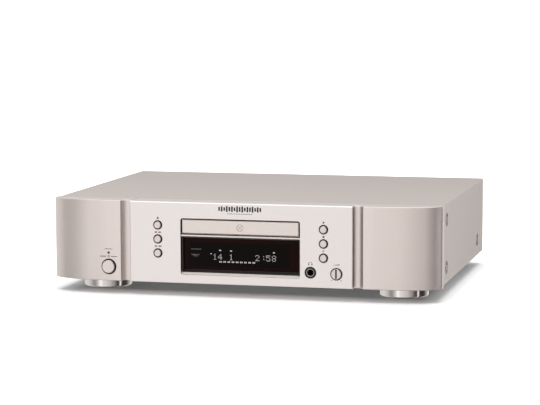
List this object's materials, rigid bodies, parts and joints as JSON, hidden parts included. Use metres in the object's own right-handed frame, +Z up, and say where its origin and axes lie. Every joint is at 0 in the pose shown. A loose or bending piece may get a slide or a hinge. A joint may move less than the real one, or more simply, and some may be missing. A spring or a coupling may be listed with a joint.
{
  "type": "cd player",
  "caption": "Full-width hi-fi disc player with a sliding tray, smoked display window, push buttons, level knob and four round feet.",
  "frame": {"origin": "on the surface it stands on, under the middle of the whole player", "axes": "+Z up, front faces -Y, +X to the viewer's right"},
  "size_m": [0.44, 0.344, 0.104],
  "materials": {
    "plate_aluminium": "fine brushed, anodised champagne",
    "champagne_paint": "satin champagne metallic paint",
    "frame_paint": "satin champagne paint on the moulded frame",
    "tray_aluminium": "fine brushed, anodised champagne",
    "dark_chrome": "black chrome",
    "cover_paint": "fine textured champagne metallic paint",
    "button_metal": "turned, satin",
    "black_plastic": "satin moulded",
    "smoked_lens": "polished smoked acrylic",
    "display_glass": "clear glass over dark phosphor grid",
    "lamp_lens": "translucent red, unlit",
    "foot_metal": "satin metallised",
    "pad_felt": "matt foam rubber",
    "zinc_steel": "zinc-plated sheet",
    "rear_paint": "satin black",
    "screw_steel": "nickel-plated",
    "tray_plastic": "fine matt",
    "loader_plastic": "glass-filled, matt",
    "white_plastic": "acetal",
    "belt_rubber": "matt",
    "motor_steel": "drawn can",
    "cast_grey": "die-cast, matt",
    "lens_glass": "coated lens",
    "contact_gold": "gold-flashed",
    "nickel": "polished nickel",
    "lamination": "varnished steel",
    "winding_tape": "polyester tape over copper",
    "board_green": "glass-epoxy with solder mask",
    "board_paper": "phenolic paper",
    "can_black": "sleeved aluminium",
    "heatsink_black": "black anodised",
    "package_black": "moulded epoxy",
    "ribbon_white": "laminated flat cable"
  },
  "bodies": {
    "root": {"front_plate": "plate_aluminium", "left_wing": "champagne_paint", "right_wing": "champagne_paint", "front_frame": "frame_paint", "display_bezel": "black_plastic", "display_lens": "smoked_lens", "power_switch": "package_black", "power_lamp": "lamp_lens", "level_potentiometer": "motor_steel", "headphone_jack": "black_plastic", "headphone_nut": "dark_chrome", "front_boards": "board_paper", "tact_switches": "package_black", "display_tube": "display_glass", "feet": "foot_metal", "foot_pads": "pad_felt", "foot_screws": "screw_steel", "bottom_chassis": "zinc_steel", "top_cover": "cover_paint", "cover_screws": "screw_steel", "rear_panel": "rear_paint", "socket_screws": "screw_steel", "phono_housings": "black_plastic", "phono_sleeves": "contact_gold", "optical_socket": "black_plastic", "ac_inlet": "black_plastic", "ac_inlet_pins": "nickel", "transformer_core": "lamination", "transformer_winding": "winding_tape", "power_board": "board_paper", "main_board": "board_green", "board_screws": "screw_steel", "electrolytic_capacitors": "can_black", "heatsink": "heatsink_black", "circuit_packages": "package_black", "ribbon_cables": "ribbon_white", "loader_chassis": "loader_plastic", "loader_motor": "motor_steel", "loader_belt": "belt_rubber", "clamp_bridge": "zinc_steel"},
    "disc_tray": {"disc_tray": "tray_plastic", "tray_front": "tray_aluminium"},
    "loader_gear": {"loader_gear": "white_plastic"},
    "motor_pulley": {"motor_pulley": "white_plastic"},
    "traverse": {"traverse_plate": "loader_plastic", "guide_rods": "nickel", "traverse_motors": "motor_steel"},
    "turntable": {"turntable": "white_plastic"},
    "clamp_puck": {"clamp_puck": "white_plastic"},
    "pickup": {"pickup_sled": "cast_grey", "pickup_lens": "lens_glass"},
    "eject_button": {"eject_button": "button_metal"},
    "previous_button": {"previous_button": "button_metal"},
    "next_button": {"next_button": "button_metal"},
    "play_button": {"play_button": "button_metal"},
    "stop_button": {"stop_button": "button_metal"},
    "pause_button": {"pause_button": "button_metal"},
    "power_button": {"power_button": "button_metal"},
    "level_knob": {"level_knob": "button_metal", "level_shaft": "nickel"}
  },
  "joints": [
    {"name": "tray_slide", "type": "slide", "parent": "root", "child": "disc_tray", "axis": [0, -1, 0], "range_m": [0, 0.136]},
    {"name": "loader_gear_spin", "type": "hinge", "parent": "root", "child": "loader_gear", "pos_m": [0.046, -0.1239, 0.0683], "axis": [0, 0, 1], "range_deg": [-976, 0]},
    {"name": "motor_pulley_spin", "type": "hinge", "parent": "root", "child": "motor_pulley", "pos_m": [0.004, -0.1259, 0.0635], "axis": [0, 0, 1], "range_deg": [-3861, 0]},
    {"name": "traverse_tilt", "type": "hinge", "parent": "root", "child": "traverse", "pos_m": [0, -0.0122, 0.063], "axis": [1, 0, 0], "range_deg": [0, 5.01]},
    {"name": "turntable_spin", "type": "hinge", "parent": "traverse", "child": "turntable", "pos_m": [0, -0.0972, 0.0756], "axis": [0, 0, 1], "continuous": true},
    {"name": "clamp_spin", "type": "hinge", "parent": "root", "child": "clamp_puck", "pos_m": [0, -0.0972, 0.082], "axis": [0, 0, 1], "continuous": true},
    {"name": "pickup_slide", "type": "slide", "parent": "traverse", "child": "pickup", "axis": [0, 1, 0], "range_m": [0, 0.033]},
    {"name": "eject_press", "type": "slide", "parent": "root", "child": "eject_button", "axis": [0, 1, 0], "range_m": [0, 0.0008], "stiffness_N_per_m": 900},
    {"name": "previous_press", "type": "slide", "parent": "root", "child": "previous_button", "axis": [0, 1, 0], "range_m": [0, 0.0008], "stiffness_N_per_m": 900},
    {"name": "next_press", "type": "slide", "parent": "root", "child": "next_button", "axis": [0, 1, 0], "range_m": [0, 0.0008], "stiffness_N_per_m": 900},
    {"name": "play_press", "type": "slide", "parent": "root", "child": "play_button", "axis": [0, 1, 0], "range_m": [0, 0.0008], "stiffness_N_per_m": 900},
    {"name": "stop_press", "type": "slide", "parent": "root", "child": "stop_button", "axis": [0, 1, 0], "range_m": [0, 0.0008], "stiffness_N_per_m": 900},
    {"name": "pause_press", "type": "slide", "parent": "root", "child": "pause_button", "axis": [0, 1, 0], "range_m": [0, 0.0008], "stiffness_N_per_m": 900},
    {"name": "power_press", "type": "slide", "parent": "root", "child": "power_button", "axis": [0, 1, 0], "range_m": [0, 0.0015], "stiffness_N_per_m": 900},
    {"name": "level_turn", "type": "hinge", "parent": "root", "child": "level_knob", "pos_m": [0.1078, -0.17, 0.0299], "axis": [0, -1, 0], "range_deg": [-150, 150]}
  ],
  "couplings": [
    {"joint": "loader_gear_spin", "follows": "tray_slide", "rad_per_m": -125},
    {"joint": "motor_pulley_spin", "follows": "tray_slide", "rad_per_m": -494.79},
    {"joint": "traverse_tilt", "follows": "tray_slide", "rad_per_m": 0.64167}
  ]
}
